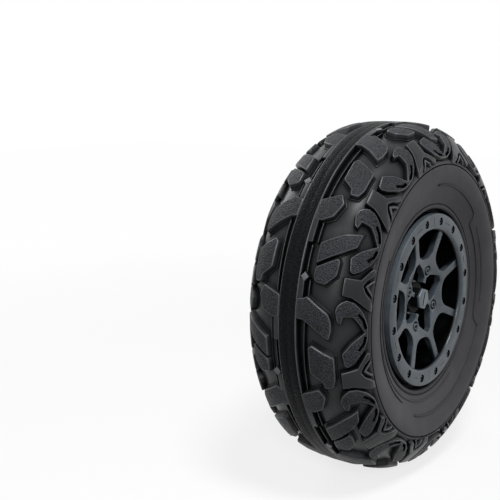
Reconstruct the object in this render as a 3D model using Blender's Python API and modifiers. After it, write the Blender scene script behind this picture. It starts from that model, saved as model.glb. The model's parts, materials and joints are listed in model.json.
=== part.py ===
"""Off-road wheel of a children's ride-on vehicle, on its stub axle.

Sizes are in metres. Every turned piece is drawn about its own Z axis, with Z pointing out of the
vehicle and 0 at the middle of the tyre. One empty turns that axis so that it points along -Y.
World origin: centre of the axle plate's inner face, the face that bolts to the vehicle.
"""

import math

import bmesh
import bpy
from mathutils import Matrix, Vector

MM = 0.001
GAP = 0.3 * MM  # between pieces that touch

# Tyre
TYRE_RADIUS = 170 * MM  # over the tread lugs
TYRE_WIDTH = 123 * MM  # over the shoulder lugs
LUG_HEIGHT = 6 * MM  # at the crown
SHOULDER_LUG_WIDTH = 3.5 * MM  # how far a shoulder lug stands out sideways
SHOULDER_DROP = 32 * MM  # from the crown down to the widest point
TYRE_WALL = 4 * MM
SIDEWALL_STEP = 9 * MM  # from the widest point down to the smooth sidewall
BEAD_INSET = 15.5 * MM  # outer face of the bead lip, inwards from the tyre's side
BEAD_HEIGHT = 7 * MM
BEAD_SLOPE = 5 * MM  # how far the sidewall stands out past the lip where it meets it
TYRE_STEPS = 36
CARCASS_STATIONS = (0.5, 0.8)  # shares of the half width where the carcass turns
CARCASS_START = 9.4  # degrees; keeps the facets' edges off the lugs' corners

# Traction band round the crown
BAND_WIDTH = 18 * MM

# Tread pattern: outlines of lugs as (share, degrees round the tyre). Share 0 is beside the
# band and share 1 the tyre's side.
LUG_CLEARANCE = 1 * MM  # between the band and the lugs beside it
TREAD_REPEATS = 6
TREAD_LUGS = (
    ((0, 110.9), (0.165, 110.3), (0.579, 116.0), (0.553, 122.1), (0, 116.4)),
    ((0.233, 124.4), (0.629, 128.0), (0.56, 137.8), (0.222, 132.8)),
    ((0, 140.8), (0.367, 138.6), (0.35, 145.4), (0, 147.4)),
    ((0.241, 154.2), (0.808, 148.8), (0.612, 156.0), (0.241, 160.1)),
    ((0.245, 161.6), (0.583, 158.1), (0.571, 164.2), (0.283, 166.0)),
)
SHOULDER_REPEATS = 12
SHOULDER_LUGS = (
    ((0.666, 115.0), (0.761, 110.8), (0.996, 120.5), (0.784, 131.3), (0.734, 127.0), (0.922, 120.6)),
    ((0.707, 133.3), (0.994, 128.8), (0.996, 142.2), (0.707, 138.3)),
)
LUG_SINK = 0.35  # share of a lug's height that goes into the carcass

# Rim
RIM_RADIUS = 84 * MM  # outside of the clamp ring
RING_INSET = 9.2 * MM  # front of the clamp ring, inwards from the tyre's side
RING_WIDTH = 16 * MM
RING_THICKNESS = 6 * MM
BARREL_WALL = 3 * MM
BARREL_INSET = 20.5 * MM
FLANGE_HEIGHT = 3 * MM  # lip of the barrel behind the inner bead
FLANGE_THICKNESS = 2.5 * MM
WEB_PLACE = -14 * MM
WEB_THICKNESS = 4 * MM
RIB_COUNT = 8
RIB_THICKNESS = 3 * MM
RIB_DEPTH = 22 * MM
SPOKE_COUNT = 8
SPOKE_WIDTH = 7.6 * MM
SPOKE_DEPTH = 6.5 * MM
OPENING_START = 40 * MM  # radius where the openings between the spokes begin
OPENING_CORNER = 14 * MM
SPOKE_RECESS = 4.5 * MM  # below the ring's face, at the ring
OPENING_RECESS = 8.2 * MM  # the same where the openings begin
HUB_RECESS = 11 * MM  # the same at the hub
HUB_PLATE_RADIUS = 28 * MM  # the flat middle of the dish
WINDOW_COUNT = 4
WINDOW_HALF = (  # one half of a window, as shares of the radius where the openings begin
    (0.3, 0.21), (0.4, 0.33), (0.612, 0.305), (0.775, 0.205), (0.94, 0.08),
)
WINDOW_CORNER = 2 * MM
CENTRE_HOLE_RADIUS = 15.5 * MM
RING_CHAMFER = 1 * MM
RING_LEDGE = 0.5 * MM  # left of the dish inside the ring
HUB_TUBE_WALL = 6.8 * MM
HUB_TUBE_INSET = 30.8 * MM
HUB_TUBE_BACK_INSET = 13.5 * MM
HUB_TUBE_BORE = 10.2 * MM  # radius
RIM_STEPS = 48
CUTTER_MARGIN = 5 * MM  # how far a cutter reaches past what it cuts

# Lug nuts
NUT_COUNT = 4
NUT_CIRCLE = 28 * MM  # radius
NUT_RADIUS = 3.4 * MM
NUT_HEIGHT = 3.5 * MM
NUT_HOLLOW_DEPTH = 2 * MM
NUT_CHAMFER = 0.6 * MM
NUT_POCKET_DEPTH = 3 * MM
NUT_POCKET_CLEARANCE = 1.6 * MM
FIRST_NUT_ANGLE = 67.5

# Centre cap, a hexagonal cover over the axle's nut
CAP_ACROSS_FLATS = 19 * MM
CAP_TURN = 12  # degrees
CAP_INSET = 17.3 * MM
CAP_WALL = 1.3 * MM
CAP_BORE_RADIUS = 8.2 * MM
CAP_FLANGE_THICKNESS = 1.5 * MM

# Bushings
BUSHING_LENGTH = 12 * MM
BUSHING_FLANGE_RADIUS = 13 * MM
BUSHING_FLANGE_THICKNESS = 1.7 * MM
RUNNING_CLEARANCE = 0.1 * MM

# Stub axle
AXLE_RADIUS = 6 * MM
AXLE_END_RADIUS = 4 * MM
COLLAR_RADIUS = 11 * MM
COLLAR_LENGTH = 4 * MM
BOSS_RADIUS = 8 * MM  # between collar and plate
AXLE_CHAMFER = 0.5 * MM
WASHER_THICKNESS = 1.5 * MM
INNER_WASHER_RADIUS = 12 * MM
OUTER_WASHER_RADIUS = 8 * MM
LOCK_NUT_ACROSS_FLATS = 13 * MM
LOCK_NUT_HEIGHT = 5.5 * MM
AXLE_END_PAST_NUT = 0.6 * MM
PLATE_SIDE = 64 * MM
PLATE_THICKNESS = 5 * MM
PLATE_CORNER = 10 * MM
PLATE_HOLE_RADIUS = 4.2 * MM
PLATE_HOLE_SPACING = 44 * MM
PLATE_REACH = 13.5 * MM  # the plate's inner face, past the tyre's side

# Places that follow from the sizes above
HALF_WIDTH = TYRE_WIDTH / 2
RING_FACE = HALF_WIDTH - RING_INSET
BEAD_FACE = HALF_WIDTH - BEAD_INSET
BARREL_FRONT = HALF_WIDTH - BARREL_INSET
HUB_TUBE_FRONT = HALF_WIDTH - HUB_TUBE_INSET
HUB_TUBE_BACK = HUB_TUBE_BACK_INSET - HALF_WIDTH
CAP_FRONT = HALF_WIDTH - CAP_INSET
PLATE_PLACE = -HALF_WIDTH - PLATE_REACH
LUG_START = BAND_WIDTH / 2 + LUG_CLEARANCE
CARCASS_RADIUS = TYRE_RADIUS - LUG_HEIGHT
CARCASS_HALF_WIDTH = HALF_WIDTH - SHOULDER_LUG_WIDTH
CARCASS_DROP = SHOULDER_DROP - SHOULDER_LUG_WIDTH
SIDEWALL_RADIUS = TYRE_RADIUS - SHOULDER_DROP - SIDEWALL_STEP
FLANGE_RADIUS = RIM_RADIUS + FLANGE_HEIGHT
BEAD_RADIUS = RIM_RADIUS / math.cos(math.pi / TYRE_STEPS) + GAP
HUB_FRONT = RING_FACE - HUB_RECESS
HUB_BACK = HUB_FRONT - SPOKE_DEPTH
HUB_TUBE_RADIUS = HUB_TUBE_BORE + HUB_TUBE_WALL
RING_INNER_RADIUS = RIM_RADIUS - RING_WIDTH
BUSHING_BORE = AXLE_RADIUS + RUNNING_CLEARANCE
BUSHING_RADIUS = HUB_TUBE_BORE - GAP
OUTER_BUSHING_FACE = HUB_TUBE_FRONT + GAP + BUSHING_FLANGE_THICKNESS
INNER_BUSHING_FACE = HUB_TUBE_BACK - GAP - BUSHING_FLANGE_THICKNESS


def material(name, colour, roughness, metallic=0.0):
    """A plain Principled material; colour is linear red, green, blue."""
    made = bpy.data.materials.new(name)
    made.use_nodes = True
    shader = made.node_tree.nodes["Principled BSDF"]
    shader.inputs["Base Color"].default_value = (*colour, 1)
    shader.inputs["Roughness"].default_value = roughness
    shader.inputs["Metallic"].default_value = metallic
    return made


def new_object(name, mesh, group, parent=None, finish=None):
    made = bpy.data.objects.new(name, mesh)
    group.objects.link(made)
    made.parent = parent
    if finish:
        mesh.materials.append(finish)
    return made


def mark_cutter(obj):
    obj.hide_render = True
    obj.display_type = "WIRE"
    return obj


def turned(name, outline, steps, group, parent, finish=None, start=0.0):
    """An outline of (radius, height) points, turned once round Z.

    The outline runs down its outer side, and is a closed loop unless it ends on the axis.
    The first facet edge is at the start angle, in degrees.
    """
    mesh = bpy.data.meshes.new(name)
    across, along = math.cos(math.radians(start)), math.sin(math.radians(start))
    count = len(outline)
    edges = [(i, i + 1) for i in range(count - 1)]
    if outline[-1][0] > 0:
        edges.append((count - 1, 0))
    points = [(radius * across, radius * along, height) for radius, height in outline]
    mesh.from_pydata(points, edges, [])
    made = new_object(name, mesh, group, parent, finish)
    screw = made.modifiers.new("turn", "SCREW")
    screw.steps = screw.render_steps = steps
    screw.use_merge_vertices = True
    screw.merge_threshold = 0.00001
    screw.use_normal_calculate = False
    screw.use_smooth_shade = False
    return made


def add_boolean(target, other, operation):
    step = target.modifiers.new(f"{operation.lower()} {other.name}", "BOOLEAN")
    step.operation = operation
    step.object = other
    step.solver = "EXACT"
    return step


def ring_of_points(radius, sides, start=0.0):
    return [
        (radius * math.cos(start + k * math.tau / sides), radius * math.sin(start + k * math.tau / sides))
        for k in range(sides)
    ]


def rounded(outline, radius, corners=None, segments=3):
    """The flat outline with its corners, or only the listed ones, rounded to a radius."""
    count = len(outline)
    made = []
    for i, point in enumerate(outline):
        here = Vector(point)
        if corners is not None and i not in corners:
            made.append(tuple(here))
            continue
        back = (Vector(outline[i - 1]) - here).normalized()
        ahead = (Vector(outline[(i + 1) % count]) - here).normalized()
        half_angle = back.angle(ahead) / 2
        reach = radius / math.tan(half_angle)
        centre = here + (back + ahead).normalized() * radius / math.sin(half_angle)
        start = here + back * reach - centre
        sweep = (here + ahead * reach - centre).angle_signed(start)
        for k in range(segments + 1):
            made.append(tuple(centre + Matrix.Rotation(sweep * k / segments, 2) @ start))
    return made


def prism(bm, outline, low, high):
    """Adds an upright prism on a flat outline."""
    floor = bm.faces.new([bm.verts.new((x, y, low)) for x, y in outline])
    raised = bmesh.ops.extrude_face_region(bm, geom=[floor])
    tops = [item for item in raised["geom"] if isinstance(item, bmesh.types.BMVert)]
    bmesh.ops.translate(bm, verts=tops, vec=(0, 0, high - low))


def finish_mesh(bm, name):
    bmesh.ops.recalc_face_normals(bm, faces=bm.faces)
    mesh = bpy.data.meshes.new(name)
    bm.to_mesh(mesh)
    bm.free()
    return mesh


def turn_copies(outline, angles):
    """The flat outline turned to each angle in degrees."""
    for angle in angles:
        turn = Matrix.Rotation(math.radians(angle), 2)
        yield [tuple(turn @ Vector(point)) for point in outline]


# Tyre


def tread_line(share, half_width, crown, drop):
    """Radius and height of the tread's cross-section at a signed share of the half width."""
    return crown - drop * share**4, half_width * share


def carcass_outline():
    """Half of the carcass: its outside from the crown to the bead, and its inside back again."""
    line = (CARCASS_HALF_WIDTH, CARCASS_RADIUS, CARCASS_DROP)
    under_line = (CARCASS_HALF_WIDTH - TYRE_WALL, CARCASS_RADIUS - TYRE_WALL, CARCASS_DROP)
    widest = CARCASS_HALF_WIDTH + SHOULDER_LUG_WIDTH / 2
    outside = [(CARCASS_RADIUS, BAND_WIDTH / 2 + GAP)]
    outside += [tread_line(share, *line) for share in (*CARCASS_STATIONS, 1)]
    outside += [
        (SIDEWALL_RADIUS, widest),
        (BEAD_RADIUS + 1.8 * BEAD_HEIGHT, BEAD_FACE + BEAD_SLOPE),
        (BEAD_RADIUS + 0.3 * BEAD_HEIGHT, BEAD_FACE),
    ]
    inside = [
        (BEAD_RADIUS, BEAD_FACE - 2 * TYRE_WALL),
        (SIDEWALL_RADIUS, widest - 1.2 * TYRE_WALL),
        tread_line(0.6, *under_line),
    ]
    return outside, inside


def whole_carcass_outline():
    outside, inside = carcass_outline()
    far_side = [(radius, -height) for radius, height in outside]
    far_inside = [(radius, -height) for radius, height in inside]
    return outside[::-1] + far_side + far_inside + inside[::-1]


def lug_prism(bm, outline, turn, side):
    """Draws one lug flat and wraps it on the carcass; side is 1 outside and -1 inside."""
    flat = bmesh.new()
    prism(flat, [(share, degrees + turn) for share, degrees in outline], 0, 1)
    for vert in flat.verts:
        lug_share, degrees, height_share = vert.co
        share = (LUG_START + lug_share * (HALF_WIDTH - LUG_START)) / HALF_WIDTH
        top = Vector(tread_line(share, HALF_WIDTH, TYRE_RADIUS, SHOULDER_DROP))
        foot = Vector(tread_line(share, CARCASS_HALF_WIDTH, CARCASS_RADIUS, CARCASS_DROP))
        foot -= (top - foot) * LUG_SINK
        radius, height = foot.lerp(top, height_share)
        angle = math.radians(degrees)
        vert.co = (radius * math.cos(angle), radius * math.sin(angle), side * height)
    bmesh.ops.triangulate(flat, faces=flat.faces)
    bmesh.ops.recalc_face_normals(flat, faces=flat.faces)
    mesh = bpy.data.meshes.new("lug")
    flat.to_mesh(mesh)
    flat.free()
    bm.from_mesh(mesh)
    bpy.data.meshes.remove(mesh)


def tread_lugs(name, group, parent):
    """All lugs: the inner half mirrors the outer half and is half a repeat further round."""
    bm = bmesh.new()
    for side in (1, -1):
        shift = 0 if side > 0 else 180 / TREAD_REPEATS
        for outlines, repeats in ((TREAD_LUGS, TREAD_REPEATS), (SHOULDER_LUGS, SHOULDER_REPEATS)):
            for repeat in range(repeats):
                for outline in outlines:
                    lug_prism(bm, outline, repeat * 360 / repeats + shift, side)
    return new_object(name, finish_mesh(bm, name), group, parent)


def band_outline():
    inner = CARCASS_RADIUS + GAP
    half = BAND_WIDTH / 2
    return [(TYRE_RADIUS, half), (TYRE_RADIUS, -half), (inner, -half), (inner, half)]


# Rim


def barrel_outline():
    """Barrel, web and hub tube as one moulding."""
    bore = HUB_TUBE_BORE
    inner = RIM_RADIUS - BARREL_WALL
    back = -(BEAD_FACE + GAP) - FLANGE_THICKNESS
    web_front = WEB_PLACE
    web_back = WEB_PLACE - WEB_THICKNESS
    return [
        (RIM_RADIUS, BARREL_FRONT),
        (RIM_RADIUS, back + FLANGE_THICKNESS),
        (FLANGE_RADIUS, back + FLANGE_THICKNESS),
        (FLANGE_RADIUS, back),
        (inner, back),
        (inner, web_back),
        (HUB_TUBE_RADIUS, web_back),
        (HUB_TUBE_RADIUS, HUB_TUBE_BACK),
        (bore, HUB_TUBE_BACK),
        (bore, HUB_TUBE_FRONT),
        (HUB_TUBE_RADIUS, HUB_TUBE_FRONT),
        (HUB_TUBE_RADIUS, web_front),
        (inner, web_front),
        (inner, BARREL_FRONT),
    ]


def ribs(name, group, parent):
    """Radial ribs behind the web, from the hub tube to the barrel."""
    bm = bmesh.new()
    half = RIB_THICKNESS / 2
    start = HUB_TUBE_RADIUS - RIB_THICKNESS / 2
    end = RIM_RADIUS - BARREL_WALL / 2
    outline = [(start, -half), (end, -half), (end, half), (start, half)]
    top = WEB_PLACE - WEB_THICKNESS / 2
    angles = [360 / RIB_COUNT * (k + 0.5) for k in range(RIB_COUNT)]
    for points in turn_copies(outline, angles):
        prism(bm, points, top - RIB_DEPTH, top)
    return new_object(name, finish_mesh(bm, name), group, parent)


def face_outline():
    """Clamp ring, spoke dish and hub plate in one cross-section."""
    dish = [
        (HUB_PLATE_RADIUS, HUB_FRONT),
        (OPENING_START, RING_FACE - OPENING_RECESS),
        (RING_INNER_RADIUS, RING_FACE - SPOKE_RECESS),
    ]
    skirt = BARREL_FRONT + GAP
    step = RING_FACE - RING_THICKNESS
    ring_back = RING_INNER_RADIUS + BARREL_WALL
    return [
        (RIM_RADIUS - RING_CHAMFER, RING_FACE),
        (RIM_RADIUS, RING_FACE - RING_CHAMFER),
        (RIM_RADIUS, skirt),
        (RIM_RADIUS - BARREL_WALL, skirt),
        (RIM_RADIUS - BARREL_WALL, step),
        (ring_back, step),
        (ring_back, dish[2][1] - SPOKE_DEPTH),
        (OPENING_START, dish[1][1] - SPOKE_DEPTH),
        (HUB_PLATE_RADIUS, HUB_BACK),
        (CENTRE_HOLE_RADIUS, HUB_BACK),
        (CENTRE_HOLE_RADIUS, HUB_FRONT),
        *dish,
        (RING_INNER_RADIUS, RING_FACE),
    ]


def opening_outline():
    """One opening between two spokes, on the X axis: straight spoke sides and an arc outside."""
    half_pitch = math.pi / SPOKE_COUNT
    half_spoke = SPOKE_WIDTH / 2
    inner_y = OPENING_START * math.tan(half_pitch) - half_spoke / math.cos(half_pitch)
    outer = RING_INNER_RADIUS - RING_LEDGE
    end_angle = half_pitch - math.asin(half_spoke / outer)
    arc = [
        (outer * math.cos(end_angle * k / 3), outer * math.sin(end_angle * k / 3))
        for k in range(-3, 4)
    ]
    corners = [(OPENING_START, inner_y), (OPENING_START, -inner_y)]
    return rounded(corners + arc, OPENING_CORNER, (0, 1), 4)


def window_outline():
    """One window of the hub plate, on the X axis, at the root of a spoke."""
    half = [(x * OPENING_START, y * OPENING_START) for x, y in WINDOW_HALF]
    outline = [(x, -y) for x, y in half] + half[::-1]
    last = len(outline) - 1
    return rounded(outline, WINDOW_CORNER, (1, 2, last - 2, last - 1), 2)


def face_cutters(group, parent):
    """Cutters for the openings between the spokes, the hub's windows and the nuts' pockets."""
    low, high = HUB_BACK - CUTTER_MARGIN, RING_FACE + CUTTER_MARGIN
    openings, windows, pockets = bmesh.new(), bmesh.new(), bmesh.new()
    for points in turn_copies(opening_outline(), [360 / SPOKE_COUNT * k for k in range(SPOKE_COUNT)]):
        prism(openings, points, low, high)
    first = FIRST_NUT_ANGLE - 180 / WINDOW_COUNT
    angles = [first + 360 / WINDOW_COUNT * k for k in range(WINDOW_COUNT)]
    for points in turn_copies(window_outline(), angles):
        prism(windows, points, low, high)
    floor = HUB_FRONT - NUT_POCKET_DEPTH
    pocket = ring_of_points(NUT_RADIUS + NUT_POCKET_CLEARANCE, 24)
    for x, y in ring_of_points(NUT_CIRCLE, NUT_COUNT, math.radians(FIRST_NUT_ANGLE)):
        prism(pockets, [(x + px, y + py) for px, py in pocket], floor, high)
    return [
        mark_cutter(new_object(name, finish_mesh(bm, name), group, parent))
        for name, bm in (("openings", openings), ("windows", windows), ("pockets", pockets))
    ]


def nut_outline():
    low = HUB_FRONT - NUT_POCKET_DEPTH + GAP
    top = low + NUT_HEIGHT
    hollow = NUT_RADIUS * 0.5
    return [
        (0, top - NUT_HOLLOW_DEPTH), (hollow, top - NUT_HOLLOW_DEPTH), (hollow, top),
        (NUT_RADIUS - NUT_CHAMFER, top), (NUT_RADIUS, top - NUT_CHAMFER), (NUT_RADIUS, low),
        (0, low),
    ]


def simple_prism_object(name, outline, low, high, group, parent, finish=None):
    bm = bmesh.new()
    prism(bm, outline, low, high)
    return new_object(name, finish_mesh(bm, name), group, parent, finish)


def plug(name, radius, low, high, group, parent, sides=32):
    """A round cutter or boss on the wheel's axis."""
    return mark_cutter(
        simple_prism_object(name, ring_of_points(radius, sides), low, high, group, parent)
    )


def disc_outline(outer, inner, low, high):
    return [(outer, high), (outer, low), (inner, low), (inner, high)]


def bushing_outline(face, direction):
    """A flanged bushing whose flange faces out of the hub at the given height."""
    under = face - direction * BUSHING_FLANGE_THICKNESS
    end = under - direction * BUSHING_LENGTH
    points = [
        (BUSHING_FLANGE_RADIUS, face), (BUSHING_FLANGE_RADIUS, under), (BUSHING_RADIUS, under),
        (BUSHING_RADIUS, end), (BUSHING_BORE, end), (BUSHING_BORE, face),
    ]
    return points if direction > 0 else points[::-1]


def axle_outline(plate_top, collar_top, step, end):
    return [
        (0, end), (AXLE_END_RADIUS - AXLE_CHAMFER, end), (AXLE_END_RADIUS, end - AXLE_CHAMFER),
        (AXLE_END_RADIUS, step), (AXLE_RADIUS, step), (AXLE_RADIUS, collar_top),
        (COLLAR_RADIUS, collar_top), (COLLAR_RADIUS, collar_top - COLLAR_LENGTH),
        (BOSS_RADIUS, collar_top - COLLAR_LENGTH), (BOSS_RADIUS, plate_top), (0, plate_top),
    ]


def build():
    for old in list(bpy.data.objects):
        bpy.data.objects.remove(old)
    group = bpy.data.collections.new("ride_on_wheel")
    cutters = bpy.data.collections.new("cutters")
    for collection in (group, cutters):
        bpy.context.scene.collection.children.link(collection)
    cutters.hide_render = True

    tyre_black = material("tyre_black", (0.028, 0.029, 0.031), 0.6)
    band_black = material("band_black", (0.022, 0.023, 0.025), 0.7)
    rim_grey = material("rim_grey", (0.11, 0.13, 0.145), 0.4, 0.3)
    nut_grey = material("nut_grey", (0.16, 0.18, 0.2), 0.35, 0.3)
    bushing_white = material("bushing_white", (0.6, 0.6, 0.58), 0.5)
    steel = material("zinc_steel", (0.5, 0.5, 0.5), 0.3, 1.0)
    plate_black = material("plate_black", (0.02, 0.02, 0.022), 0.45)

    axis = bpy.data.objects.new("wheel_axis", None)
    group.objects.link(axis)
    axis.rotation_euler = (math.pi / 2, 0, 0)
    axis.location = (0, PLATE_PLACE, 0)

    tyre = turned(
        "tyre", whole_carcass_outline(), TYRE_STEPS, group, axis, tyre_black, CARCASS_START
    )
    add_boolean(tyre, mark_cutter(tread_lugs("lugs", cutters, axis)), "UNION")
    turned(
        "traction_band", band_outline(), TYRE_STEPS, group, axis, band_black, CARCASS_START
    )

    barrel = turned("rim_barrel", barrel_outline(), RIM_STEPS, group, axis, rim_grey)
    add_boolean(barrel, mark_cutter(ribs("ribs", cutters, axis)), "UNION")

    face = turned("rim_face", face_outline(), RIM_STEPS, group, axis, rim_grey)
    for cutter in face_cutters(cutters, axis):
        add_boolean(face, cutter, "DIFFERENCE")

    for number, (x, y) in enumerate(
        ring_of_points(NUT_CIRCLE, NUT_COUNT, math.radians(FIRST_NUT_ANGLE)), start=1
    ):
        nut = turned(f"lug_nut_{number}", nut_outline(), 20, group, axis, nut_grey)
        nut.location = (x, y, 0)

    cap_low = OUTER_BUSHING_FACE + GAP
    cap_corner = CAP_ACROSS_FLATS / 2 / math.cos(math.pi / 6)
    cap_turn = math.pi / 2 + math.radians(CAP_TURN)
    cap = simple_prism_object(
        "centre_cap", ring_of_points(cap_corner, 6, cap_turn), cap_low, CAP_FRONT, group, axis,
        nut_grey,
    )
    foot = plug(
        "cap_foot", CENTRE_HOLE_RADIUS - GAP, cap_low, cap_low + CAP_FLANGE_THICKNESS, cutters, axis
    )
    add_boolean(cap, foot, "UNION")
    bore = plug(
        "cap_bore", CAP_BORE_RADIUS, cap_low - CUTTER_MARGIN, CAP_FRONT - CAP_WALL, cutters, axis
    )
    add_boolean(cap, bore, "DIFFERENCE")

    turned("bushing_outer", bushing_outline(OUTER_BUSHING_FACE, 1), 32, group, axis, bushing_white)
    turned("bushing_inner", bushing_outline(INNER_BUSHING_FACE, -1), 32, group, axis, bushing_white)

    inner_washer_low = INNER_BUSHING_FACE - GAP - WASHER_THICKNESS
    turned(
        "inner_washer",
        disc_outline(
            INNER_WASHER_RADIUS, AXLE_RADIUS + GAP, inner_washer_low, INNER_BUSHING_FACE - GAP
        ),
        32, group, axis, steel,
    )
    collar_top = inner_washer_low - GAP
    step = OUTER_BUSHING_FACE
    outer_washer_low = step + GAP
    nut_low = outer_washer_low + WASHER_THICKNESS + GAP
    axle_end = nut_low + LOCK_NUT_HEIGHT + AXLE_END_PAST_NUT
    plate_top = PLATE_PLACE + PLATE_THICKNESS
    turned(
        "stub_axle", axle_outline(plate_top + GAP, collar_top, step, axle_end), 32, group, axis,
        steel,
    )
    turned(
        "outer_washer",
        disc_outline(
            OUTER_WASHER_RADIUS, AXLE_END_RADIUS + GAP, outer_washer_low,
            outer_washer_low + WASHER_THICKNESS,
        ),
        32, group, axis, steel,
    )
    nut_corner = LOCK_NUT_ACROSS_FLATS / 2 / math.cos(math.pi / 6)
    lock_nut = simple_prism_object(
        "lock_nut", ring_of_points(nut_corner, 6), nut_low, nut_low + LOCK_NUT_HEIGHT, group, axis,
        steel,
    )
    nut_bore = plug(
        "nut_bore", AXLE_END_RADIUS + GAP, nut_low - CUTTER_MARGIN, axle_end + CUTTER_MARGIN,
        cutters, axis,
    )
    add_boolean(lock_nut, nut_bore, "DIFFERENCE")

    half = PLATE_SIDE / 2
    plate = simple_prism_object(
        "axle_plate", rounded([(-half, -half), (half, -half), (half, half), (-half, half)], PLATE_CORNER),
        PLATE_PLACE, plate_top, group, axis, plate_black,
    )
    holes = bmesh.new()
    offset = PLATE_HOLE_SPACING / 2
    for x in (-offset, offset):
        for y in (-offset, offset):
            outline = [
                (x + px, y + py) for px, py in ring_of_points(PLATE_HOLE_RADIUS, 20)
            ]
            prism(holes, outline, PLATE_PLACE - CUTTER_MARGIN, plate_top + CUTTER_MARGIN)
    hole_cutter = mark_cutter(new_object("plate_holes", finish_mesh(holes, "plate_holes"), cutters, axis))
    add_boolean(plate, hole_cutter, "DIFFERENCE")


build()
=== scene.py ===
# %% [markdown]
# # Off-road wheel of a ride-on toy vehicle
# The wheel looks like a rubber tyre on a cast rim, but on the real toy everything that turns is
# moulded plastic: a charcoal tyre with lugs, a softer band round its crown that gives the grip, and a
# gunmetal rim with open spokes. It turns on two nylon bushings on a steel stub axle.
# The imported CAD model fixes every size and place. This file only dresses it: each piece is modelled
# again with more detail where the CAD solid is plain, and rides on the CAD body that carries it.

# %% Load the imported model
import json
import math

import bmesh
import bpy
import numpy as np
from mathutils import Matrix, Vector


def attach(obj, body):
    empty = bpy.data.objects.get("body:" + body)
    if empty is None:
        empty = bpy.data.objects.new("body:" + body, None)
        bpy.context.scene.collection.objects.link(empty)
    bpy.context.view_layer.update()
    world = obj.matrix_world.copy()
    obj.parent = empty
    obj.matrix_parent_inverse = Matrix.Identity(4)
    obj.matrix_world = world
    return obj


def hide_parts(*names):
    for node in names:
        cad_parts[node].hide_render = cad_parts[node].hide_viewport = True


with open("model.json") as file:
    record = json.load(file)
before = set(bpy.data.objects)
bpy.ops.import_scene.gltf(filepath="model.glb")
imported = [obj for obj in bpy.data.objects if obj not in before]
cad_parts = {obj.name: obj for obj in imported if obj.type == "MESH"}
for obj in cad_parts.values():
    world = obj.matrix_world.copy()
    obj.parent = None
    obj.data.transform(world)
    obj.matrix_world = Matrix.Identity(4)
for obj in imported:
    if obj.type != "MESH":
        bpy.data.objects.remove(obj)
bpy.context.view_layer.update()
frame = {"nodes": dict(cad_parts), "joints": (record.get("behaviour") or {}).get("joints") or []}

# %% [markdown]
# ## Where things are
# The axle lies along Y and the wheel's face looks along -Y. A wheel is easiest to describe by a
# radius, an angle round the axle and a height out from the tyre's middle, so one function turns those
# three into a point. The angle starts at +X and grows towards +Z.

# %% Radius, height and angle to a point
MM = 0.001
AXLE = Vector(frame["joints"][0]["pos_m"])


def place(radius, height, degrees=0.0):
    """The point at a radius and a height in mm and an angle round the axle."""
    angle = math.radians(degrees)
    return AXLE + Vector((radius * math.cos(angle), -height, radius * math.sin(angle))) * MM


print("tyre's middle:", tuple(AXLE), "top of the tread:", tuple(place(170, 0, 90)))

# %% [markdown]
# ## The camera
# The photo looks at the wheel from the front left and a little above, with the wheel in the right
# half of the picture. The camera was found by matching the sixteen screws of the rim, which lie on a
# known circle, so its place and lens are plain numbers and need no fitting here.

# %% Camera
sight = bpy.data.cameras.new("camera")
sight.lens = 66.25
sight.sensor_width = 36
camera = bpy.data.objects.new("camera", sight)
bpy.context.scene.collection.objects.link(camera)
camera.location = (-0.7973, -0.5103, 0.2016)
camera.rotation_euler = (math.radians(80.02), 0, math.radians(-52.90))
bpy.context.scene.camera = camera
bpy.context.scene.view_settings.view_transform = "Standard"
print("camera", tuple(round(v, 3) for v in camera.location), "lens", sight.lens)

# %% [markdown]
# ## Light and floor
# A black object shows little but its edges and what it reflects. The strongest lamp hangs overhead,
# so that the walls of the lugs that face down stay dark. Two high on the left give the smooth ground of
# the tread its sheen and light the walls that face the camera. The background is white for the camera
# and for reflections only, so that it adds no light of its own.

# %% A function that adds one node
def add_node(tree, kind, values=None, links=None, **settings):
    """Adds a node, sets its properties and socket values, and links sockets to its inputs."""
    node = tree.nodes.new(kind)
    for name, value in settings.items():
        setattr(node, name, value)
    for name, value in (values or {}).items():
        node.inputs[name].default_value = value
    for name, source in (links or {}).items():
        tree.links.new(source, node.inputs[name])
    return node


def linear(code):
    """An sRGB hex colour as linear red, green, blue and alpha."""
    shares = [int(code[i:i + 2], 16) / 255 for i in (1, 3, 5)]
    return (*[s / 12.92 if s <= 0.04045 else ((s + 0.055) / 1.055) ** 2.4 for s in shares], 1.0)


print("mid grey is", [round(v, 3) for v in linear("#808080")])

# %% World: soft fill light, white for the camera
world = bpy.data.worlds.new("studio")
bpy.context.scene.world = world
world.use_nodes = True
air = world.node_tree
air.nodes.clear()
path = add_node(air, "ShaderNodeLightPath")
seen = path.outputs["Is Camera Ray"]
for ray in ("Is Glossy Ray", "Is Transmission Ray"):
    seen = add_node(
        air, "ShaderNodeMath", operation="MAXIMUM", links={0: seen, 1: path.outputs[ray]}
    ).outputs[0]
fill = add_node(air, "ShaderNodeBackground", {"Color": linear("#F2F5F8"), "Strength": 0.1})
white = add_node(air, "ShaderNodeBackground", {"Color": (1, 1, 1, 1), "Strength": 1.0})
sky = add_node(
    air, "ShaderNodeMixShader",
    links={0: seen, 1: fill.outputs[0], 2: white.outputs[0]},
)
add_node(air, "ShaderNodeOutputWorld", links={"Surface": sky.outputs[0]})
print("world nodes:", len(air.nodes))

# %% Lamps
def soft_lamp(name, position, target, size, power):
    light = bpy.data.lights.new(name, "AREA")
    light.shape = "DISK"
    light.size = size
    light.energy = power
    lamp = bpy.data.objects.new(name, light)
    bpy.context.scene.collection.objects.link(lamp)
    lamp.location = position
    lamp.rotation_euler = (Vector(target) - Vector(position)).to_track_quat("-Z", "Y").to_euler()
    return lamp


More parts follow.
